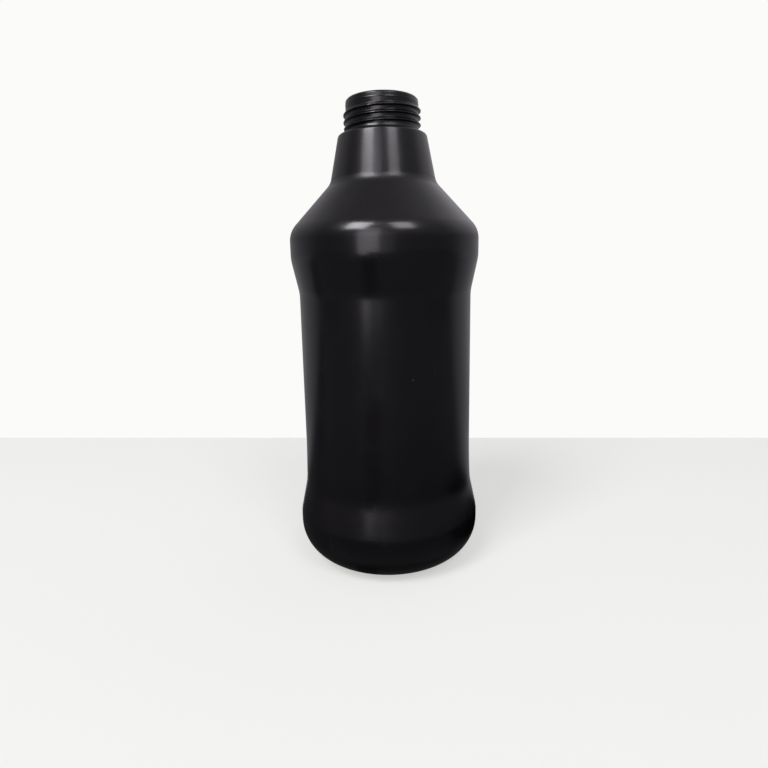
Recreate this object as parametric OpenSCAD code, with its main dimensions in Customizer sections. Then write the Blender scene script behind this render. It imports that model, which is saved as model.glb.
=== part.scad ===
// Round one-piece moulded bottle with a recessed waist and a screw neck.
// Millimetres, +Z up. The origin is the centre of the ring it stands on.

/* [Foot] */
// Diameter of the foot, the widest part of the bottle
foot_d = 94.8; // [88:0.2:110]
// Radius of the round corner between the foot and the underside
foot_corner_r = 19.2; // [8:0.2:20]
// Height at which the foot starts to draw in
foot_h = 24.4; // [22:0.1:34]
// Height over which the foot draws in to the waist
foot_taper_h = 16.6; // [12:0.1:26]

/* [Underside] */
// Inside diameter of the ring that the bottle stands on
ring_inner_d = 48; // [40:0.5:52]
// Depth of the hollow inside that ring, measured at its edge
push_up_h = 3.2; // [1:0.1:6]
// Extra depth of the hollow at its centre
push_up_crown_h = 0.6; // [0:0.1:3]
// Width of the sloped side of the hollow, measured outwards
push_up_side_w = 4.5; // [2:0.1:8]
// Length of the pinch-off seam across the hollow
pinch_l = 36; // [20:1:38]
// Width of the pinch-off seam
pinch_w = 1.2; // [0.6:0.1:3]
// How far the pinch-off seam stands proud
pinch_h = 0.5; // [0.2:0.1:1]

/* [Waist] */
// Diameter of the waist at its foot
waist_foot_d = 87.7; // [80:0.1:90]
// Height over which the waist eases in above its foot
waist_ease_h = 19; // [14:0.5:30]
// Diameter of the waist at the end of that ease
waist_d = 86.5; // [78:0.1:88]
// Diameter of the waist at its top
waist_top_d = 86.1; // [78:0.1:88]
// Height of the waist between its foot and its top
waist_h = 98; // [60:0.1:140]

/* [Shoulder] */
// Height over which the waist widens to the shoulder band
band_taper_h = 16.6; // [12:0.1:26]
// Diameter of the shoulder band
band_d = 93.1; // [90:0.1:110]
// Height of the shoulder band between its two bends
band_h = 12.9; // [10:0.1:24]
// Height of the shoulder slope
shoulder_h = 22.3; // [18:0.1:40]

/* [Cone] */
// Diameter of the cone where it meets the shoulder
cone_foot_d = 51.8; // [48:0.1:58]
// Diameter of the cone at its top edge
cone_top_d = 42.7; // [40:0.1:46]
// Height of the cone
cone_h = 21.7; // [14:0.1:40]
// Rise of the ledge between the cone and the neck
ledge_h = 1.3; // [0.6:0.1:3]

/* [Neck] */
// Diameter of the neck under the thread
neck_d = 34.7; // [32.5:0.1:36]
// Height of the plain neck from the ledge up to the crest of the thread's low end
neck_plain_h = 1.45; // [1.2:0.05:5]
// Diameter of the plain bore through the neck
bore_d = 31.2; // [26:0.1:31.6]
// Height of the slight taper under the rim
rim_taper_h = 2.4; // [1:0.1:3]
// How far that taper draws the rim in, measured at the radius
rim_taper = 0.35; // [0.1:0.05:0.6]
// How far the fine ridge at the foot of that taper stands proud
rim_ridge = 0.25; // [0.1:0.05:0.5]
// Height of that ridge
rim_ridge_h = 0.5; // [0.3:0.05:1]

/* [Thread] */
// Diameter over the thread
thread_d = 37; // [35.6:0.1:38]
// Pitch of the thread
thread_pitch = 3.175; // [2.8:0.025:4.5]
// Turns of thread, with the two ends that fade out
thread_turns = 2.7; // [1:0.1:4]
// Width of the thread at its crest
thread_crest_w = 0.4; // [0.2:0.05:0.8]
// Height of the steep flank under the crest, which a cap pulls against
thread_under_h = 0.25; // [0.1:0.05:0.6]
// Height of the sloped flank above the crest
thread_over_h = 1; // [0.4:0.05:1.2]
// Distance from the rim down to the crest of the thread's top end
thread_drop = 4.9; // [4:0.1:9]
// Direction, seen from above, of the thread's top end
thread_top_angle = 50; // [0:5:355]
// Angle over which each end fades into the neck
thread_fade = 40; // [20:5:90]

/* [Wall] */
// Wall thickness of the body
wall = 1.2; // [0.6:0.1:1.6]

/* [Hidden] */

// Smooth black moulding
BLACK = [0.11, 0.105, 0.11];

// How far each blend of the outside reaches from its corner, from the underside up
PUSH_UP_BLEND = 0.8;
RING_BLEND = 0.5;
FOOT_BLEND = 1.8;
WAIST_FOOT_BLEND = 3;
WAIST_EASE_BLEND = 10;
WAIST_TOP_BLEND = 2.2;
BAND_FOOT_BLEND = 2.2;
BAND_TOP_BLEND = 4.5;
CONE_FOOT_BLEND = 2.2;
CONE_TOP_BLEND = 0.85;
NECK_FOOT_BLEND = 0.35;
RIDGE_BLEND = 0.06;
// Reach of the blends at the two edges of the rim, which a thin rim makes smaller
RIM_BLEND = min(0.3, ((neck_d - bore_d) / 2 - rim_taper) / 3);
// Reach of the blend at the foot of the bore
BORE_FOOT_BLEND = 0.85;
// Least radius left inside a corner that the wall fills
LEAST_RADIUS = 0.3;
// Largest turn between two points of a blend, in degrees
BLEND_STEP = 4;
// Points of the thread's helix in one turn
THREAD_STEPS = 60;
// Depth of the thread's root and of the seam inside the wall, at most half of it
ROOT_DEPTH = min(0.6, wall / 2, (neck_d - bore_d) / 4);

// Heights of the bends, from the underside up
foot_taper_z = foot_h + foot_taper_h;
waist_top_z = foot_taper_z + waist_h;
band_foot_z = waist_top_z + band_taper_h;
band_top_z = band_foot_z + band_h;
cone_foot_z = band_top_z + shoulder_h;
cone_top_z = cone_foot_z + cone_h;
neck_foot_z = cone_top_z + ledge_h;
thread_low_z = neck_foot_z + neck_plain_h;
rim_z = thread_low_z + thread_turns * thread_pitch + thread_drop;

// Corners of the outside from the middle of the underside to the foot of the neck,
// each with its radius, its height and the reach of its blend
SKIN = [
    [0, push_up_h + push_up_crown_h, 0],
    [ring_inner_d / 2 - push_up_side_w, push_up_h, PUSH_UP_BLEND],
    [ring_inner_d / 2, 0, RING_BLEND],
    [foot_d / 2, 0, foot_corner_r],
    [foot_d / 2, foot_h, FOOT_BLEND],
    [waist_foot_d / 2, foot_taper_z, WAIST_FOOT_BLEND],
    [waist_d / 2, foot_taper_z + waist_ease_h, WAIST_EASE_BLEND],
    [waist_top_d / 2, waist_top_z, WAIST_TOP_BLEND],
    [band_d / 2, band_foot_z, BAND_FOOT_BLEND],
    [band_d / 2, band_top_z, BAND_TOP_BLEND],
    [cone_foot_d / 2, cone_foot_z, CONE_FOOT_BLEND],
    [cone_top_d / 2, cone_top_z, CONE_TOP_BLEND],
    [neck_d / 2, neck_foot_z, NECK_FOOT_BLEND],
];

// Corners of the neck above its foot, up over the rim and down to the top of the bore
NECK = [
    [neck_d / 2, rim_z - rim_taper_h - rim_ridge_h, RIDGE_BLEND],
    [neck_d / 2 + rim_ridge, rim_z - rim_taper_h - rim_ridge_h / 2, RIDGE_BLEND],
    [neck_d / 2, rim_z - rim_taper_h, RIDGE_BLEND],
    [neck_d / 2 - rim_taper, rim_z, RIM_BLEND],
    [bore_d / 2, rim_z, RIM_BLEND],
];

function at(corner) = [corner.x, corner.y];
function unit(v) = v / norm(v);
function turn(a, b) = a.x * b.y - a.y * b.x;
function inward(a, b) = let (d = unit(b - a)) [-d.y, d.x];

// Half the angle between the two sides that meet at the corner b
function half_angle(a, b, c) = acos(unit(a - b) * unit(c - b)) / 2;

// Whether the two sides that meet at the corner b run on in one line, with nothing to blend
function straight(a, b, c) = half_angle(a, b, c) > 89.99;

// Points of the arc that rounds the corner b between a and c and starts at a reach from it
function blended(a, b, c, reach) =
    straight(a, b, c) ? [b] : let (
        u = unit(a - b),
        v = unit(c - b),
        half = half_angle(a, b, c),
        r = reach * tan(half),
        centre = b + unit(u + v) * r / sin(half),
        start = b + u * reach - centre,
        end = b + v * reach - centre,
        from = atan2(start.y, start.x),
        sweep = sign(turn(start, end)) * (180 - 2 * half),
        steps = max(2, ceil(abs(sweep) / BLEND_STEP))
    )
    [for (i = [0:steps]) centre + r * [cos(from + sweep * i / steps), sin(from + sweep * i / steps)]];

// Outline through a list of corners, whose first and last stay sharp
function outline(corners) =
    let (last = len(corners) - 1)
    [
        at(corners[0]),
        for (i = [1:last - 1])
            each blended(at(corners[i - 1]), at(corners[i]), at(corners[i + 1]), corners[i].z),
        at(corners[last]),
    ];

// The corner i moved inwards by the wall, with the blend that keeps the wall even
function inner_corner(i) =
    let (
        a = at(SKIN[i - 1]),
        b = at(SKIN[i]),
        c = at(SKIN[i + 1]),
        n1 = inward(a, b),
        n2 = inward(b, c),
        change = turn(n1, n2) > 0 ? -wall : wall,
        slope = straight(a, b, c) ? 1 : tan(half_angle(a, b, c)),
        moved = b + wall * (n1 + n2) / (1 + n1 * n2)
    )
    [moved.x, moved.y, max(LEAST_RADIUS, SKIN[i].z * slope + change) / slope];

// Where the inside of the ledge meets the bore
function bore_foot() =
    let (
        edge = inner_corner(len(SKIN) - 2),
        rise = ledge_h / (cone_top_d / 2 - neck_d / 2)
    )
    [bore_d / 2, edge.y + (edge.x - bore_d / 2) * rise, BORE_FOOT_BLEND];

// Corners of the inside from the top of the bore down to the middle of the floor
INSIDE = [
    bore_foot(),
    for (i = [len(SKIN) - 2:-1:1]) inner_corner(i),
    [0, SKIN[0].y + wall, 0],
];

module shell() {
    rotate_extrude($fn = 120) polygon(outline(concat(SKIN, NECK, INSIDE)));
}

// Pinch-off seam left by the mould, which follows the crown of the underside
module pinch_seam() {
    reach = pinch_l / 2;
    crown = push_up_crown_h * (1 - reach / (ring_inner_d / 2 - push_up_side_w));
    rotate([90, 0, 0]) linear_extrude(pinch_w, center = true) polygon([
        [-reach, push_up_h + ROOT_DEPTH],
        [-reach, push_up_h + crown],
        [-reach + pinch_h, push_up_h + crown - pinch_h],
        [0, push_up_h + push_up_crown_h - pinch_h],
        [reach - pinch_h, push_up_h + crown - pinch_h],
        [reach, push_up_h + crown],
        [reach, push_up_h + ROOT_DEPTH],
    ]);
}

// Height of the thread above the neck, which dips into the wall at its two ends
function thread_h(angle) =
    let (
        full = thread_turns * 360,
        ramp = min(1, angle / thread_fade, (full - angle) / thread_fade),
        dip = ROOT_DEPTH / 2
    )
    ((thread_d - neck_d) / 2 + dip) * sin(90 * ramp) - dip;

// Section of the thread at one angle of its helix, as radius and height, with a steep
// flank below the crest and a sloped one above it
function thread_section(angle) =
    let (
        full_h = (thread_d - neck_d) / 2,
        round = thread_crest_w / 4,
        h = thread_h(angle),
        half = thread_crest_w / 2,
        under = function(up) -half - thread_under_h * (1 - up / full_h),
        over = function(up) half + thread_over_h * (1 - up / full_h)
    )
    [
        [neck_d / 2 - ROOT_DEPTH, under(-ROOT_DEPTH)],
        [neck_d / 2 + h - round, under(h - round)],
        [neck_d / 2 + h, under(h) + round],
        [neck_d / 2 + h, over(h) - round],
        [neck_d / 2 + h - round, over(h - round)],
        [neck_d / 2 - ROOT_DEPTH, over(-ROOT_DEPTH)],
    ];

// Right-hand helix, one closed sweep with its two ends capped
module thread() {
    steps = ceil(thread_turns * THREAD_STEPS);
    low_angle = thread_top_angle - thread_turns * 360;
    sides = len(thread_section(0));
    points = [
        for (i = [0:steps])
            let (angle = thread_turns * 360 * i / steps)
            for (p = thread_section(angle))
                [
                    p.x * cos(low_angle + angle),
                    p.x * sin(low_angle + angle),
                    p.y + thread_low_z + thread_pitch * angle / 360,
                ],
    ];
    skin = [
        for (i = [0:steps - 1], k = [0:sides - 1])
            let (a = i * sides + k, b = i * sides + (k + 1) % sides)
            each [[a, b, a + sides], [b, b + sides, a + sides]],
    ];
    low_cap = [for (k = [sides - 1:-1:0]) k];
    top_cap = [for (k = [0:sides - 1]) steps * sides + k];
    polyhedron(points, concat(skin, [low_cap, top_cap]));
}

module bottle() {
    color(BLACK) {
        shell();
        pinch_seam();
        thread();
    }
}

bottle();
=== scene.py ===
# Screw neck bottle in satin black plastic, on a pale table under soft boxes.
import math

import bmesh
import bpy
from mathutils import Matrix, Vector


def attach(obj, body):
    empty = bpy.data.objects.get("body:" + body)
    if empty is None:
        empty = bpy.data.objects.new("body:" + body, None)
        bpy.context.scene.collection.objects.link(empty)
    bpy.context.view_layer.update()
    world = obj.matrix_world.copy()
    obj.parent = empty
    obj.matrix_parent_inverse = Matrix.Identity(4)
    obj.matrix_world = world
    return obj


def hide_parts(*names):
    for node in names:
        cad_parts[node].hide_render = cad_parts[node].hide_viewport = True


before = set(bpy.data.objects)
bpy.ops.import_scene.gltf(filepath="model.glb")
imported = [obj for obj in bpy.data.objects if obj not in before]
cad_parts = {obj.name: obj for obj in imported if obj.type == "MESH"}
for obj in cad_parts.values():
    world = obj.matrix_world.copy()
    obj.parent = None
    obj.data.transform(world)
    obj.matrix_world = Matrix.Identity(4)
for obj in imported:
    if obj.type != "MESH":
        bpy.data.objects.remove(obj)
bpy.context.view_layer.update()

MM = 0.001

# Sizes of the bottle, in millimetres, as the part has them

# Corners of the outside, from the middle of the underside up to the neck. Each has its radius, its height
# and how far its blend reaches from it.
SKIN = [
    (0.0, 3.8, 0.0),
    (19.5, 3.2, 0.8),
    (24.0, 0.0, 0.5),
    (47.4, 0.0, 19.2),
    (47.4, 24.4, 1.8),
    (43.85, 41.0, 3.0),
    (43.25, 60.0, 10.0),
    (43.05, 139.0, 2.2),
    (46.55, 155.6, 2.2),
    (46.55, 168.5, 4.5),
    (25.9, 190.8, 2.2),
    (21.35, 212.5, 0.85),
    (17.35, 213.8, 0.35),
]
NECK_R = 17.35
BORE_R = 15.6
RIM_Z = 228.722
RIM_TAPER = 0.11
RIM_TAPER_H = 2.4
RIM_CHAMFER = 0.75
RIDGE = 0.08
RIDGE_H = 0.5
NECK_FLARE = 0.5
NECK_FLARE_H = 1.5
WALL = 1.2
FLOOR_Z = SKIN[0][1] + WALL
PINCH_REACH = 18.0

# Columns of the shell, turns of the thread, and in degrees the directions of its upper end and of its nicks
SIDES = 160
TURNS = 2.7
TOP_END = 50
NICKED_SIDE = 270 - 24

THREAD = {
    "Neck radius": NECK_R * MM,
    "Thread height": 1.15 * MM,
    "Pitch": 3.175 * MM,
    "Turns": TURNS,
    "Low end height": 215.25 * MM,
    "Low end direction": math.radians(TOP_END - TURNS * 360),
    "Crest width": 0.4 * MM,
    "Under flank": 0.25 * MM,
    "Over flank": 1.0 * MM,
    "Fade": 40 / 360,
    "Crest rounding": 0.12 * MM,
    "Foot rounding": 0.25 * MM,
}


# Outline of the wall

def half_angle(a, b, c):
    """Half the angle between the two sides that meet at the corner b."""
    a, b, c = (Vector(p[:2]) for p in (a, b, c))
    return (a - b).angle(c - b) / 2


def arc(a, b, c, reach, step=math.radians(3)):
    """Points of the arc that rounds the corner b between a and c and starts at a reach from it."""
    half = half_angle(a, b, c)
    a, b, c = (Vector(p[:2]) for p in (a, b, c))
    u, v = (a - b).normalized(), (c - b).normalized()
    radius = reach * math.tan(half)
    centre = b + (u + v).normalized() * radius / math.sin(half)
    start, end = b + u * reach - centre, b + v * reach - centre
    first = math.atan2(start.y, start.x)
    sweep = math.remainder(math.atan2(end.y, end.x) - first, 2 * math.pi)
    count = max(3, math.ceil(abs(sweep) / step))
    turns = [first + sweep * i / count for i in range(count + 1)]
    return [(centre.x + radius * math.cos(t), centre.y + radius * math.sin(t)) for t in turns]


def rounded(corners):
    """Outline through corners (radius, height, reach), with the first and the last left sharp."""
    points = [corners[0][:2]]
    for before, corner, after in zip(corners, corners[1:], corners[2:]):
        points += arc(before, corner, after, corner[2])
    return points + [corners[-1][:2]]


def moved_in(before, corner, after, wall):
    """A corner of the skin moved inwards by the wall, with the blend that keeps the wall even."""
    a, b, c = (Vector(p[:2]) for p in (before, corner, after))
    d1, d2 = (b - a).normalized(), (c - b).normalized()
    n1, n2 = Vector((-d1.y, d1.x)), Vector((-d2.y, d2.x))
    place = b + wall * (n1 + n2) / (1 + n1.dot(n2))
    outer_bend = n1.x * n2.y - n1.y * n2.x > 0
    slope = math.tan(half_angle(before, corner, after))
    radius = max(0.3, corner[2] * slope + (-wall if outer_bend else wall))
    return place.x, place.y, radius / slope


def wall_corners():
    """All corners of the wall: up the skin, over the rim and down the inside."""
    inside = [moved_in(*SKIN[i - 1:i + 2], WALL) for i in range(len(SKIN) - 2, 0, -1)]
    rim = [
        (NECK_R, RIM_Z - RIM_TAPER_H - RIDGE_H, 0.06),
        (NECK_R + RIDGE, RIM_Z - RIM_TAPER_H - RIDGE_H / 2, 0.06),
        (NECK_R, RIM_Z - RIM_TAPER_H, 0.06),
        (NECK_R - RIM_TAPER, RIM_Z - RIM_CHAMFER, 0.3),
        (NECK_R - RIM_TAPER - RIM_CHAMFER, RIM_Z, 0.3),
        (BORE_R, RIM_Z, 0.25),
    ]
    ledge = SKIN[-2:]
    rise = (ledge[1][1] - ledge[0][1]) / (ledge[0][0] - ledge[1][0])
    bore_foot = (BORE_R, inside[0][1] + (inside[0][0] - BORE_R) * rise, 0.85)
    neck_z = SKIN[-1][1]
    neck_foot = [(NECK_R + NECK_FLARE, neck_z + 0.05, 0.2), (NECK_R, neck_z + NECK_FLARE_H, 0.3)]
    return SKIN[:-1] + neck_foot + rim + [bore_foot] + inside + [(0.0, FLOOR_Z, 0.0)]


def wall_rows():
    """Points of the outline, close enough for the thread and the waves, with marks for skin and neck."""
    points = rounded(wall_corners())
    over_rim = max(range(len(points)), key=lambda i: points[i][1])
    rows = []
    for i, (start, end) in enumerate(zip(points, points[1:])):
        skin = i < over_rim
        neck = skin and min(start[1], end[1]) > SKIN[-1][1]
        threaded = neck and max(start[1], end[1]) < RIM_Z - RIM_TAPER_H
        longest = (0.09 if threaded else 2.5) if skin else 8.0
        count = max(1, math.ceil(math.dist(start, end) / longest))
        for k in range(count):
            r = start[0] + (end[0] - start[0]) * k / count
            z = start[1] + (end[1] - start[1]) * k / count
            rows.append((r, z, float(skin), float(neck and z < RIM_Z - RIM_TAPER_H - RIDGE_H)))
    rows.append((*points[-1], 0.0, 0.0))
    return rows


# Node trees

class Nodes:
    """Places nodes in a tree from left to right and links them as they are made."""

    def __init__(self, tree):
        self.tree = tree
        self.column = 0

    def add(self, kind, label="", settings=None, **inputs):
        node = self.tree.nodes.new(kind)
        node.location = (self.column * 180, -(self.column % 4) * 160)
        self.column += 1
        if label:
            node.label = label
        for name, value in (settings or {}).items():
            setattr(node, name, value)
        for name, value in inputs.items():
            self.feed(node.inputs[name.replace("_", " ")], value)
        return node

    def feed(self, socket, value):
        if isinstance(value, bpy.types.NodeSocket):
            self.tree.links.new(value, socket)
        else:
            socket.default_value = value

    def math(self, operation, *values, label=""):
        node = self.add("ShaderNodeMath", label, {"operation": operation})
        for socket, value in zip(node.inputs, values):
            self.feed(socket, value)
        return node.outputs[0]

    def ramp(self, value, low, high, to_low=0.0, to_high=1.0, label="", smooth=False):
        node = self.add("ShaderNodeMapRange", label)
        node.interpolation_type = "SMOOTHSTEP" if smooth else "LINEAR"
        for name, given in (("Value", value), ("From Min", low), ("From Max", high),
                            ("To Min", to_low), ("To Max", to_high)):
            self.feed(node.inputs[name], given)
        return node.outputs[0]

    def shades(self, height, stops, label=""):
        """Grey level for the height of a direction, from stops given by their rise in degrees."""
        node = self.add("ShaderNodeValToRGB", label, Fac=self.ramp(height, -1.0, 1.0))
        ramp = node.color_ramp
        ramp.interpolation = "EASE"
        while len(ramp.elements) < len(stops):
            ramp.elements.new(0.5)
        for element, (rise, level) in zip(ramp.elements, sorted(stops.items())):
            element.position = (math.sin(math.radians(rise)) + 1) / 2
            element.color = (level, level, level, 1.0)
        return node.outputs[0]


def tree_sizes(tree, sizes, whole=()):
    """Adds one named input for each size and gives their identifiers."""
    names = {}
    for name, value in sizes.items():
        kind = "NodeSocketInt" if name in whole else "NodeSocketFloat"
        socket = tree.interface.new_socket(name=name, in_out="INPUT", socket_type=kind)
        socket.default_value = value
        names[name] = socket.identifier
    return names


# The shell: the outline turned round the axis, with the thread raised on the neck

def thread_radius(n, given, radius, height, angle):
    """Radius of the skin with the thread on it, at a height and an angle round the axis."""
    along = n.math("DIVIDE", n.math("SUBTRACT", height, given["Low end height"]), given["Pitch"],
                   label="height in pitches")
    round_ = n.math("DIVIDE", n.math("SUBTRACT", angle, given["Low end direction"]), 2 * math.pi,
                    label="angle in turns")
    nearest = n.math("ROUND", n.math("SUBTRACT", along, round_), label="nearest turn")
    place = n.math("ADD", round_, nearest, label="place on the helix")
    above = n.math("MULTIPLY", n.math("SUBTRACT", along, place), given["Pitch"],
                   label="height above the crest")

    from_low = n.math("DIVIDE", place, given["Fade"])
    from_top = n.math("DIVIDE", n.math("SUBTRACT", given["Turns"], place), given["Fade"])
    fade = n.math("MAXIMUM", n.math("MINIMUM", n.math("MINIMUM", from_low, from_top), 1.0), -1.0,
                  label="fade of the two ends")
    dip = 0.3 * MM
    swell = n.math("SINE", n.math("MULTIPLY", fade, math.pi / 2))
    swollen = n.math("MULTIPLY", n.math("ADD", given["Thread height"], dip), swell)
    crest = n.math("SUBTRACT", swollen, dip, label="height of the crest")
    crest = n.math("SUBTRACT", crest, given["Wear"], label="worn crest")

    half_crest = n.math("MULTIPLY", given["Crest width"], 0.5)

    def flank(off, width, label):
        """Height of a flank over the neck, at a distance off from the middle of the crest."""
        left = n.math("SUBTRACT", n.math("ADD", half_crest, width), off)
        return n.math("MULTIPLY", left, n.math("DIVIDE", given["Thread height"], width), label=label)

    over = flank(above, given["Over flank"], "sloped flank above")
    under = flank(n.math("MULTIPLY", above, -1.0), given["Under flank"], "steep flank below")
    section = n.math("SMOOTH_MIN", crest, n.math("MINIMUM", over, under), given["Crest rounding"],
                     label="rounded crest")
    raised = n.math("ADD", given["Neck radius"], section)
    return n.math("SMOOTH_MAX", radius, raised, given["Foot rounding"], label="rounded foot")


def shell_tree():
    """Geometry nodes that turn an outline of (radius, 0, height) points into a closed threaded shell."""
    tree = bpy.data.node_groups.new("Turned shell with a thread", "GeometryNodeTree")
    tree.is_modifier = True
    tree.interface.new_socket(name="Outline", in_out="INPUT", socket_type="NodeSocketGeometry")
    sizes = {"Sides": SIDES, **THREAD, "Nicks": 0.4 * MM, "Wave depth": 0.05 * MM, "Seed": 4.0}
    names = tree_sizes(tree, sizes, whole=("Sides",))
    new_socket = tree.interface.new_socket
    dress = new_socket(name="Material", in_out="INPUT", socket_type="NodeSocketMaterial")
    names["Material"] = dress.identifier
    new_socket(name="Shell", in_out="OUTPUT", socket_type="NodeSocketGeometry")

    n = Nodes(tree)
    group_in = n.add("NodeGroupInput")
    given = {socket.name: socket for socket in group_in.outputs}
    outline = given["Outline"]

    count = n.add("GeometryNodeAttributeDomainSize", "points of the outline", Geometry=outline)
    rows = count.outputs["Point Count"]
    grid = n.add("GeometryNodeMeshGrid", "one column for each side")
    n.feed(grid.inputs["Size X"], 1.0)
    n.feed(grid.inputs["Size Y"], 1.0)
    n.feed(grid.inputs["Vertices X"], n.math("ADD", given["Sides"], 1.0))
    n.feed(grid.inputs["Vertices Y"], rows)
    index = n.add("GeometryNodeInputIndex").outputs[0]
    row = n.math("MODULO", index, rows, label="row")
    column = n.math("FLOOR", n.math("DIVIDE", n.math("ADD", index, 0.5), rows), label="column")

    def from_outline(value, kind, label):
        node = n.add("GeometryNodeSampleIndex", label, {"data_type": kind})
        n.feed(node.inputs["Geometry"], outline)
        n.feed(node.inputs["Value"], value)
        n.feed(node.inputs["Index"], row)
        return node.outputs[0]

    def marked(name):
        node = n.add("GeometryNodeInputNamedAttribute", name, {"data_type": "FLOAT"}, Name=name)
        return from_outline(node.outputs[0], "FLOAT", name)

    point = from_outline(n.add("GeometryNodeInputPosition").outputs[0], "FLOAT_VECTOR", "outline point")
    split = n.add("ShaderNodeSeparateXYZ", Vector=point)
    radius, height = split.outputs["X"], split.outputs["Z"]
    skin, neck = marked("skin"), marked("neck")
    angle = n.math("MULTIPLY", n.math("DIVIDE", column, given["Sides"]), 2 * math.pi, label="angle")
    sine, cosine = n.math("SINE", angle), n.math("COSINE", angle)

    def noise(scale, label, squeeze=1.0):
        place = n.add("ShaderNodeCombineXYZ", label)
        n.feed(place.inputs["X"], n.math("MULTIPLY", radius, cosine))
        n.feed(place.inputs["Y"], n.math("MULTIPLY", radius, sine))
        n.feed(place.inputs["Z"], n.math("MULTIPLY", height, squeeze))
        node = n.add("ShaderNodeTexNoise", label, {"noise_dimensions": "4D"})
        n.feed(node.inputs["Vector"], place.outputs[0])
        n.feed(node.inputs["W"], given["Seed"])
        n.feed(node.inputs["Scale"], scale)
        n.feed(node.inputs["Detail"], 2.0)
        return node.outputs[0]

    # Nicks in the thread's crest, on the front left of the neck only
    turn_off = n.math("ABSOLUTE", n.math("SUBTRACT", angle, math.radians(NICKED_SIDE)))
    worn_side = n.ramp(turn_off, math.radians(15), math.radians(24), 1.0, 0.0, "worn side", smooth=True)
    bite = n.ramp(noise(1500.0, "nicks"), 0.48, 0.66, 0.0, 1.0, "nick depth")
    given["Wear"] = n.math("MULTIPLY", n.math("MULTIPLY", bite, worn_side), given["Nicks"])

    threaded = thread_radius(n, given, radius, height, angle)
    grown = n.math("MULTIPLY", n.math("SUBTRACT", threaded, radius), neck)

    # The waves only go inwards, so that the shell stays inside the part's box
    wave = n.ramp(noise(28.0, "soft waves", 0.7), 0.25, 0.75, 0.6, 1.6)
    wave = n.math("MULTIPLY", wave, given["Wave depth"])
    waved = n.math("MULTIPLY", skin, n.ramp(height, 0.211, 0.202, label="below the neck"))
    wave = n.math("MULTIPLY", wave, waved)
    final = n.math("SUBTRACT", n.math("ADD", radius, grown), wave)
    final = n.math("MAXIMUM", final, 0.0, label="final radius")

    place = n.add("ShaderNodeCombineXYZ", "place")
    n.feed(place.inputs["X"], n.math("MULTIPLY", final, cosine))
    n.feed(place.inputs["Y"], n.math("MULTIPLY", final, sine))
    n.feed(place.inputs["Z"], height)
    turned = n.add("GeometryNodeSetPosition", "turned", Geometry=grid.outputs["Mesh"])
    n.feed(turned.inputs["Position"], place.outputs[0])
    store = n.add("GeometryNodeStoreNamedAttribute", "skin mark",
                  {"data_type": "FLOAT", "domain": "POINT"})
    n.feed(store.inputs["Geometry"], turned.outputs[0])
    n.feed(store.inputs["Name"], "skin")
    n.feed(store.inputs["Value"], skin)
    closed = n.add("GeometryNodeMergeByDistance", "closed seam and poles", Geometry=store.outputs[0])
    n.feed(closed.inputs["Distance"], 0.002 * MM)
    smooth = n.add("GeometryNodeSetShadeSmooth", Geometry=closed.outputs[0])
    real = n.add("GeometryNodeRealizeInstances", Geometry=smooth.outputs[0])
    dressed = n.add("GeometryNodeSetMaterial", Geometry=real.outputs[0])
    n.feed(dressed.inputs["Material"], given["Material"])
    group_out = n.add("NodeGroupOutput")
    n.feed(group_out.inputs["Shell"], dressed.outputs[0])
    return tree, names


def turned_shell(material):
    """The bottle's shell as a plain mesh."""
    rows = wall_rows()
    outline = bpy.data.meshes.new("outline")
    outline.from_pydata([(r * MM, 0.0, z * MM) for r, z, *_ in rows],
                        [(i, i + 1) for i in range(len(rows) - 1)], [])
    for name, column in (("skin", 2), ("neck", 3)):
        mark = outline.attributes.new(name, "FLOAT", "POINT")
        mark.data.foreach_set("value", [row[column] for row in rows])
    holder = bpy.data.objects.new("outline", outline)
    bpy.context.scene.collection.objects.link(holder)
    tree, names = shell_tree()
    turning = holder.modifiers.new("Turned shell", "NODES")
    turning.node_group = tree
    turning[names["Material"]] = material
    turning[names["Sides"]] = SIDES
    bpy.context.view_layer.update()
    ready = holder.evaluated_get(bpy.context.evaluated_depsgraph_get())
    mesh = bpy.data.meshes.new_from_object(ready)
    bpy.data.objects.remove(holder)
    return mesh


def pinch_seam():
    """Closed bar of the seam where the mould pinched the bottom shut, thinner towards its edge."""
    reach, hollow_r, hollow_z, crown = PINCH_REACH, SKIN[1][0], SKIN[1][1], SKIN[0][1] - SKIN[1][1]
    stations = 48
    points = []
    for i in range(stations + 1):
        x = reach * (2 * i / stations - 1)
        under = hollow_z + crown * (1 - abs(x) / hollow_r)
        proud = min(0.5, reach - abs(x)) * (0.93 + 0.07 * math.sin(2.1 * x) * math.cos(0.7 * x))
        edge = 0.2 + 0.06 * math.sin(1.3 * x + 0.5)
        points += [(x, -0.6, under + 0.4), (x, -0.5, under - 0.2 * proud), (x, -edge, under - proud),
                   (x, edge, under - proud), (x, 0.5, under - 0.2 * proud), (x, 0.6, under + 0.4)]
    faces = [(6 * i + k, 6 * i + (k + 1) % 6, 6 * i + 6 + (k + 1) % 6, 6 * i + 6 + k)
             for i in range(stations) for k in range(6)]
    faces += [tuple(range(6)), tuple(range(6 * stations + 5, 6 * stations - 1, -1))]
    mesh = bpy.data.meshes.new("pinch_seam")
    mesh.from_pydata([tuple(c * MM for c in point) for point in points], [], faces)
    return mesh


def joined(*meshes):
    """One mesh with all the closed parts of the given ones."""
    whole = bmesh.new()
    for mesh in meshes:
        whole.from_mesh(mesh)
    whole.to_mesh(meshes[0])
    whole.free()
    return meshes[0]


def facing_outwards(mesh):
    """Turns all faces round where the closed mesh has its inside out."""
    mesh.calc_loop_triangles()
    volume = 0.0
    for triangle in mesh.loop_triangles:
        a, b, c = (mesh.vertices[i].co for i in triangle.vertices)
        volume += a.dot(b.cross(c))
    if volume < 0:
        mesh.flip_normals()
    return mesh


# Finish

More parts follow.
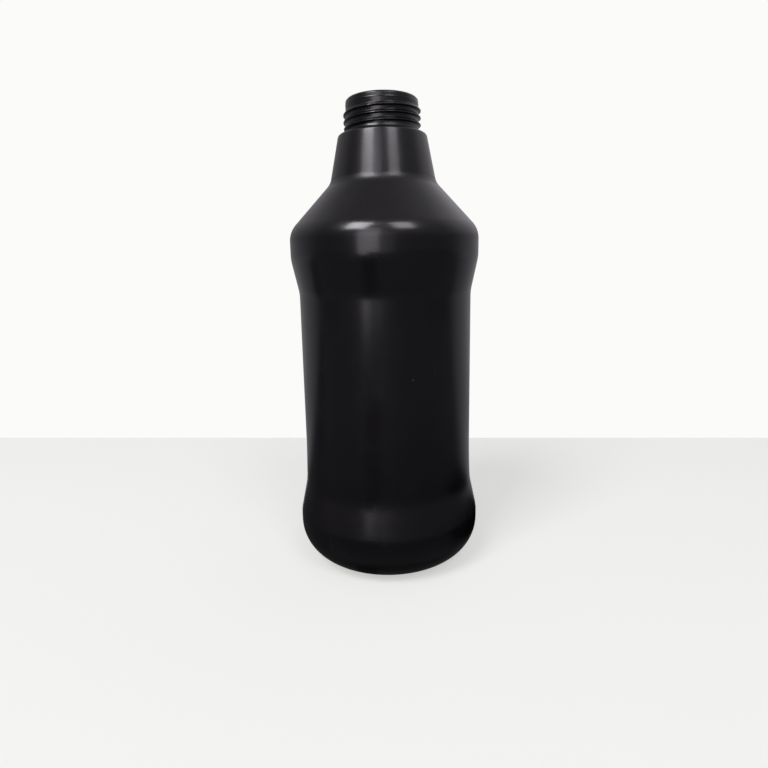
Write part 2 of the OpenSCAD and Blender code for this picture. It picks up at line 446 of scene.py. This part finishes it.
def effect_group(name, inputs, outputs):
    """A new shader group with Place and the given inputs and outputs, and the sockets of its input node."""
    tree = bpy.data.node_groups.new(name, "ShaderNodeTree")
    tree.interface.new_socket(name="Place", in_out="INPUT", socket_type="NodeSocketVector")
    for label, value in inputs.items():
        socket = tree.interface.new_socket(name=label, in_out="INPUT", socket_type="NodeSocketFloat")
        socket.default_value = value
    for label in outputs:
        tree.interface.new_socket(name=label, in_out="OUTPUT", socket_type="NodeSocketFloat")
    n = Nodes(tree)
    given = {socket.name: socket for socket in n.add("NodeGroupInput").outputs}
    return tree, n, given


def moulded_grain():
    """Fine unevenness of a moulded skin, and the faint upright lines that the parison's die leaves."""
    sizes = {"Grain size": 0.0012, "Line depth": 0.4}
    tree, n, given = effect_group("Moulded grain", sizes, ["Height", "Mask"])
    fine = n.add("ShaderNodeTexNoise", "grain")
    n.feed(fine.inputs["Vector"], given["Place"])
    n.feed(fine.inputs["Scale"], n.math("DIVIDE", 1.0, given["Grain size"]))
    n.feed(fine.inputs["Detail"], 3.0)
    drawn = n.add("ShaderNodeMapping", "drawn upwards")
    n.feed(drawn.inputs["Vector"], given["Place"])
    drawn.inputs["Scale"].default_value = (1.0, 1.0, 0.02)
    lines = n.add("ShaderNodeTexNoise", "die lines")
    n.feed(lines.inputs["Vector"], drawn.outputs[0])
    n.feed(lines.inputs["Scale"], 420.0)
    n.feed(lines.inputs["Detail"], 2.0)
    cloud = n.add("ShaderNodeTexNoise", "cloudy gloss")
    n.feed(cloud.inputs["Vector"], given["Place"])
    n.feed(cloud.inputs["Scale"], 45.0)
    n.feed(cloud.inputs["Detail"], 4.0)
    height = n.math("ADD", fine.outputs[0], n.math("MULTIPLY", lines.outputs[0], given["Line depth"]))
    out = n.add("NodeGroupOutput")
    n.feed(out.inputs["Height"], height)
    n.feed(out.inputs["Mask"], n.ramp(cloud.outputs[0], 0.35, 0.65))
    return tree


def parting_line():
    """The thin ridge where the mould halves meet, in the plane of X and Z, and the one round their insert."""
    tree, n, given = effect_group("Parting line", {"Width": 0.00025, "Ring height": 0.0127}, ["Ridge"])
    split = n.add("ShaderNodeSeparateXYZ", Vector=given["Place"])
    off = n.math("ABSOLUTE", split.outputs["Y"])
    off_ring = n.math("ABSOLUTE", n.math("SUBTRACT", split.outputs["Z"], given["Ring height"]))
    nearest = n.math("MINIMUM", off, off_ring)
    ridge = n.ramp(n.math("DIVIDE", nearest, given["Width"]), 0.0, 1.0, 1.0, 0.0, "ridge", smooth=True)
    out = n.add("NodeGroupOutput")
    n.feed(out.inputs["Ridge"], ridge)
    return tree


def handling_marks():
    """Sparse fine scratches and dull rub marks."""
    tree, n, given = effect_group("Handling marks", {"Amount": 0.5}, ["Scratches", "Rubs"])
    turned = n.add("ShaderNodeMapping", "slanting")
    n.feed(turned.inputs["Vector"], given["Place"])
    turned.inputs["Rotation"].default_value = (0.3, 0.9, 0.4)
    turned.inputs["Scale"].default_value = (1.0, 1.0, 0.06)
    scratch = n.add("ShaderNodeTexNoise", "scratches")
    n.feed(scratch.inputs["Vector"], turned.outputs[0])
    n.feed(scratch.inputs["Scale"], 900.0)
    n.feed(scratch.inputs["Detail"], 1.0)
    rub = n.add("ShaderNodeTexNoise", "rubs")
    n.feed(rub.inputs["Vector"], given["Place"])
    n.feed(rub.inputs["Scale"], 90.0)
    n.feed(rub.inputs["Detail"], 5.0)
    patch = n.ramp(rub.outputs[0], 0.55, 0.72, smooth=True)
    fine = n.ramp(scratch.outputs[0], 0.68, 0.76)
    out = n.add("NodeGroupOutput")
    n.feed(out.inputs["Scratches"], n.math("MULTIPLY", n.math("MULTIPLY", fine, patch), given["Amount"]))
    n.feed(out.inputs["Rubs"], n.math("MULTIPLY", patch, given["Amount"]))
    return tree


def placed(n, tree, place, **inputs):
    node = n.add("ShaderNodeGroup", tree.name, {"node_tree": tree}, Place=place)
    for name, value in inputs.items():
        n.feed(node.inputs[name.replace("_", " ")], value)
    return node


def mixed(n, factor, low, high, label=""):
    node = n.add("ShaderNodeMix", label, {"data_type": "RGBA"})
    n.feed(node.inputs[0], factor)
    n.feed(node.inputs[6], low)
    n.feed(node.inputs[7], high)
    return node.outputs[2]


# Colours of the plastic and of its marks, and two places on it in metres
BLACK_LOW = (0.0030, 0.0026, 0.0031, 1)
BLACK_HIGH = (0.0036, 0.0031, 0.0037, 1)
SCRATCH = (0.02, 0.019, 0.02, 1)
GRIT = (0.10, 0.055, 0.05, 1)
SPECK = (0.01185, -0.04149, 0.10126)
CONE_CORNER = 0.1909


def black_moulding():
    """Satin black polyethylene, a little duller on the cone and the neck."""
    material = bpy.data.materials.new("black_moulding")
    material.use_nodes = True
    tree = material.node_tree
    tree.nodes.clear()
    n = Nodes(tree)
    place = n.add("ShaderNodeTexCoord").outputs["Object"]
    split = n.add("ShaderNodeSeparateXYZ", Vector=place)
    height = split.outputs["Z"]
    skin = n.add("ShaderNodeAttribute", "skin", {"attribute_name": "skin"}).outputs["Fac"]

    grain = placed(n, moulded_grain(), place, Grain_size=0.0012, Line_depth=0.3)
    line = placed(n, parting_line(), place, Width=0.00025)
    marks = placed(n, handling_marks(), place, Amount=0.5)
    neck = n.ramp(height, 0.2125, 0.2145, label="neck")

    # A speck of grit moulded into the front of the waist
    speck_place = n.add("ShaderNodeVectorMath", "speck", {"operation": "DISTANCE"})
    n.feed(speck_place.inputs[0], place)
    speck_place.inputs[1].default_value = SPECK
    speck = n.ramp(speck_place.outputs["Value"], 0.0002, 0.0004, 1.0, 0.0, "speck")

    colour = mixed(n, grain.outputs["Mask"], BLACK_LOW, BLACK_HIGH, "black")
    colour = mixed(n, marks.outputs["Scratches"], colour, SCRATCH, "scratches")
    colour = mixed(n, speck, colour, GRIT, "speck")

    # Half of the gloss is a clear one and half a hazy one
    cloudy = n.math("MULTIPLY", grain.outputs["Mask"], 0.03)
    dull = n.math("ADD", cloudy, n.math("MULTIPLY", marks.outputs["Rubs"], 0.06))
    right_side = n.ramp(split.outputs["X"], 0.0, 0.002, 0.0, 0.16)
    rubbed = n.math("MULTIPLY", right_side, n.ramp(height, 0.2158, 0.2152))
    dull = n.math("ADD", dull, n.math("MULTIPLY", rubbed, neck, label="rubbed foot of the neck"))
    off_corner = n.math("ABSOLUTE", n.math("SUBTRACT", height, CONE_CORNER))
    corner = n.ramp(off_corner, 0.0012, 0.0024, 0.11, 0.0, "duller corner under the cone")
    dull = n.math("ADD", dull, corner)
    dull = n.math("ADD", dull, n.ramp(height, 0.194, 0.200, 0.0, 0.03, "duller cone"))
    clear = n.math("ADD", dull, 0.16, label="clear gloss")
    haze = n.math("ADD", dull, 0.27, label="hazy gloss")

    fine = n.add("ShaderNodeBump", "grain", Strength=0.10, Distance=0.04 * MM)
    n.feed(fine.inputs["Height"], grain.outputs["Height"])
    seam = n.add("ShaderNodeBump", "parting line", Strength=0.6, Distance=0.06 * MM)
    n.feed(seam.inputs["Normal"], fine.outputs[0])
    n.feed(seam.inputs["Height"], n.math("MULTIPLY", line.outputs["Ridge"], skin))

    body = n.add("ShaderNodeBsdfPrincipled", Base_Color=colour, Roughness=haze, IOR=1.5)
    n.feed(body.inputs["Specular IOR Level"], 0.25)
    n.feed(body.inputs["Coat Weight"], 0.5)
    n.feed(body.inputs["Coat Roughness"], clear)
    n.feed(body.inputs["Normal"], seam.outputs[0])
    n.feed(body.inputs["Coat Normal"], seam.outputs[0])
    out = n.add("ShaderNodeOutputMaterial")
    n.feed(out.inputs["Surface"], body.outputs[0])
    return material


# The table, the lamps and the camera

WALL_TONE = (0.965, 0.965, 0.947, 1.0)
TABLE_TONE = (0.855, 0.855, 0.84)
LIGHT_TINT = (1.0, 0.96, 1.03)
AIM = Vector((0.0, 0.0, 0.13))

# How bright the room is for reflections, by the rise of the direction in degrees
ROOM_IN_FRONT = {-90: 0.0, -14: 0.05, -4: 0.05, 5: 0.16, 15: 0.23,
                 25: 0.25, 35: 0.27, 45: 0.30, 60: 0.32, 90: 0.28}
ROOM_BEHIND = {-90: 0.0, -26: 0.0, -17: 0.20, -5: 0.30, 5: 0.27,
               15: 0.45, 30: 0.60, 45: 0.50, 60: 0.34, 90: 0.28}

# The table: how far it reaches, and its far edge, which crosses the picture at a slight slant
TABLE_REACH = 1.6
TABLE_FAR = 0.1933
TABLE_SLANT = 0.0573
LIT_SHARE = 0.4
# Middle of the painted shadow on the right of the table, seen only in reflections
PAINTED_SHADOW_SPOT = (0.115, 0.01, 0.0)

# The camera: its place in the plane of Y and Z, its turns in radians and its focal length
CAMERA_PLACE = (0.0, -0.2836, 0.1513)
CAMERA_DOWN = 0.2096
CAMERA_ROLL = -0.0190
CAMERA_TURN = -0.00517
FOCAL_PIXELS = 550
PHOTO_WIDTH = 768
SENSOR = 36.0


def table():
    """Pale table top. Its far edge crosses the picture behind the bottle."""
    side = TABLE_REACH
    far_left, far_right = (TABLE_FAR - TABLE_SLANT * x for x in (-side, side))
    corners = [(-side, -side, 0), (side, -side, 0), (side, far_right, 0), (-side, far_left, 0)]
    mesh = bpy.data.meshes.new("table")
    mesh.from_pydata(corners, [], [(0, 1, 2, 3)])
    piece = bpy.data.objects.new("table", mesh)
    bpy.context.scene.collection.objects.link(piece)
    material = bpy.data.materials.new("pale_table")
    material.use_nodes = True
    material.node_tree.nodes.clear()
    n = Nodes(material.node_tree)
    seen = n.add("ShaderNodeLightPath").outputs["Is Camera Ray"]
    untinted = [LIT_SHARE * c / t for c, t in zip(TABLE_TONE, LIGHT_TINT)]
    lit = n.add("ShaderNodeBsdfDiffuse", Color=(*untinted, 1.0))
    glow = n.add("ShaderNodeEmission", Color=(*TABLE_TONE, 1.0), Strength=1 - LIT_SHARE)
    bright = n.add("ShaderNodeAddShader")
    n.feed(bright.inputs[0], lit.outputs[0])
    n.feed(bright.inputs[1], glow.outputs[0])

    # In reflections the table glows with painted light instead of being lit: darker near the bottle and paler
    # farther off, with painted shade as a dark lane in front, a painted shadow as a dark spot on the right
    # and one right under the foot
    place = n.add("ShaderNodeTexCoord").outputs["Object"]
    split = n.add("ShaderNodeSeparateXYZ", Vector=place)
    x, y = split.outputs["X"], split.outputs["Y"]
    away = n.add("ShaderNodeVectorMath", "distance", {"operation": "LENGTH"})
    n.feed(away.inputs[0], place)
    away = away.outputs["Value"]
    turn = n.math("ARCTAN2", x, n.math("MULTIPLY", y, -1.0), label="direction")
    turn_off = n.math("ABSOLUTE", n.math("ADD", turn, math.radians(18)))
    # Painted shade: a dark lane in the table's glow, seen only in reflections
    lane = n.ramp(turn_off, math.radians(4), math.radians(11), label="dark lane", smooth=True)
    front = n.math("MULTIPLY", n.ramp(away, 0.08, 0.32, 0.04, 0.13, "paler in front"), lane)
    # Painted light near the foot, and a painted shadow right under it
    foot = n.ramp(away, 0.055, 0.10, 0.10, 0.04, "paler at the foot")
    foot = n.math("MULTIPLY", foot, n.ramp(y, -0.02, -0.045))
    foot = n.math("MULTIPLY", foot, n.ramp(away, 0.046, 0.054, 0.2, 1.0, "dark right under the foot"))
    front = n.math("MAXIMUM", front, foot)
    left = n.ramp(y, 0.085, 0.145, 0.04, 0.25, "left side, paler at the back")
    right = n.ramp(y, 0.03, 0.12, 0.08, 0.25, "right side, paler at the back")
    sides = n.ramp(x, -0.05, 0.05, left, right, "sides")
    off_axis = n.math("SUBTRACT", n.math("ABSOLUTE", x), n.math("MULTIPLY", y, 0.4))
    behind = n.ramp(off_axis, 0.035, 0.06, 0.5, 0.0, "pale behind")
    behind = n.math("MULTIPLY", behind, n.ramp(y, 0.0, 0.06))
    back = n.ramp(y, -0.06, 0.04, label="towards the back", smooth=True)
    level = mixed(n, back, front, n.math("MAXIMUM", sides, behind), "table in reflections")
    # Painted shadow: a dark spot in the glow on the right, where the bottle's shadow would lie
    spot = n.add("ShaderNodeVectorMath", "off the dark spot", {"operation": "DISTANCE"})
    n.feed(spot.inputs[0], place)
    spot.inputs[1].default_value = PAINTED_SHADOW_SPOT
    off_painted_shadow = n.ramp(spot.outputs["Value"], 0.05, 0.08, label="dark spot on the right", smooth=True)
    level = n.math("MULTIPLY", level, off_painted_shadow)
    # Painted light and shade: in reflections the table glows with this pattern instead of being lit
    painted_glow_and_shade = n.add("ShaderNodeEmission", Color=(*LIGHT_TINT, 1.0), Strength=level)
    choice = n.add("ShaderNodeMixShader")
    n.feed(choice.inputs[0], seen)
    n.feed(choice.inputs[1], painted_glow_and_shade.outputs[0])
    n.feed(choice.inputs[2], bright.outputs[0])
    out = n.add("ShaderNodeOutputMaterial")
    n.feed(out.inputs["Surface"], choice.outputs[0])
    mesh.materials.append(material)
    return piece


def studio():
    """Dim room: pale to the camera, and in light and reflections dark below and brightest behind."""
    world = bpy.data.worlds.new("studio")
    world.use_nodes = True
    tree = world.node_tree
    tree.nodes.clear()
    n = Nodes(tree)
    seen = n.add("ShaderNodeLightPath").outputs["Is Camera Ray"]
    way = n.add("ShaderNodeSeparateXYZ", Vector=n.add("ShaderNodeTexCoord").outputs["Generated"])
    front = n.shades(way.outputs["Z"], ROOM_IN_FRONT, "room in front")
    behind = n.shades(way.outputs["Z"], ROOM_BEHIND, "room behind")
    back = n.ramp(way.outputs["Y"], -0.15, 0.35, label="towards the back", smooth=True)
    level = mixed(n, back, front, behind, "room")
    left = n.ramp(way.outputs["Z"], -0.1, 0.2, 1.1, 0.62, "left side, brighter below")
    right = n.ramp(way.outputs["X"], -0.5, 0.5, left, 1.12, "brighter on the right", smooth=True)
    level = n.math("MULTIPLY", level, right)
    room = n.add("ShaderNodeBackground", Color=(*LIGHT_TINT, 1.0), Strength=level)
    pale = n.add("ShaderNodeBackground", Color=WALL_TONE, Strength=1.0)
    choice = n.add("ShaderNodeMixShader")
    n.feed(choice.inputs[0], seen)
    n.feed(choice.inputs[1], room.outputs[0])
    n.feed(choice.inputs[2], pale.outputs[0])
    out = n.add("ShaderNodeOutputWorld")
    n.feed(out.inputs["Surface"], choice.outputs[0])
    bpy.context.scene.world = world


def soft_box(name, side, rise, wide, high, level, distance=2.0):
    """A soft box, placed by its angles to the side and above, with its width and height in degrees."""
    side, rise = math.radians(side), math.radians(rise)
    way = Vector((math.sin(side) * math.cos(rise), -math.cos(side) * math.cos(rise), math.sin(rise)))
    lamp = bpy.data.lights.new(name, "AREA")
    lamp.shape = "RECTANGLE"
    lamp.color = LIGHT_TINT
    lamp.size = 2 * distance * math.tan(math.radians(wide) / 2)
    lamp.size_y = 2 * distance * math.tan(math.radians(high) / 2)
    lamp.energy = level * math.pi * lamp.size * lamp.size_y
    piece = bpy.data.objects.new(name, lamp)
    piece.location = AIM + way * distance
    piece.rotation_euler = way.to_track_quat("Z", "Y").to_euler()
    piece.visible_camera = False
    bpy.context.scene.collection.objects.link(piece)
    return piece


def camera():
    """Camera a little below the shoulder band, looking down by 12 degrees."""
    down, roll, turn = CAMERA_DOWN, CAMERA_ROLL, CAMERA_TURN
    ahead = Vector((math.sin(turn) * math.cos(down), math.cos(turn) * math.cos(down), -math.sin(down)))
    level = Vector((math.cos(turn), -math.sin(turn), 0.0))
    upright = level.cross(ahead)
    right = level * math.cos(roll) + upright * math.sin(roll)
    up = upright * math.cos(roll) - level * math.sin(roll)
    lens = bpy.data.cameras.new("camera")
    lens.sensor_fit = "HORIZONTAL"
    lens.sensor_width = SENSOR
    lens.lens = FOCAL_PIXELS / PHOTO_WIDTH * SENSOR
    lens.clip_start = 0.01
    piece = bpy.data.objects.new("camera", lens)
    axes = Matrix((right, up, -ahead)).transposed()
    piece.matrix_world = Matrix.Translation(CAMERA_PLACE) @ axes.to_4x4()
    bpy.context.scene.collection.objects.link(piece)
    bpy.context.scene.camera = piece
    return piece


# Assembly

camera()
table()
studio()
soft_box("left box", -38.5, 48, 21, 26, 13.2)
soft_box("right box", 27, 47, 19, 25, 6.5)
soft_box("left strip", -18.5, 11, 24, 20, 3.1)
soft_box("upper strip", -17.5, 29, 23, 16, 2.1)
soft_box("low strip", -24.5, -4.5, 9, 9, 2.5)
soft_box("front glow", 0, 11, 22, 22, 0.4)

skin_mesh = facing_outwards(turned_shell(black_moulding()))
seam_mesh = facing_outwards(pinch_seam())
shell = bpy.data.objects.new("bottle_shell", joined(skin_mesh, seam_mesh))
bpy.context.scene.collection.objects.link(shell)
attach(shell, "root")
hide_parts("bottle")

bpy.context.scene.view_settings.view_transform = "Standard"
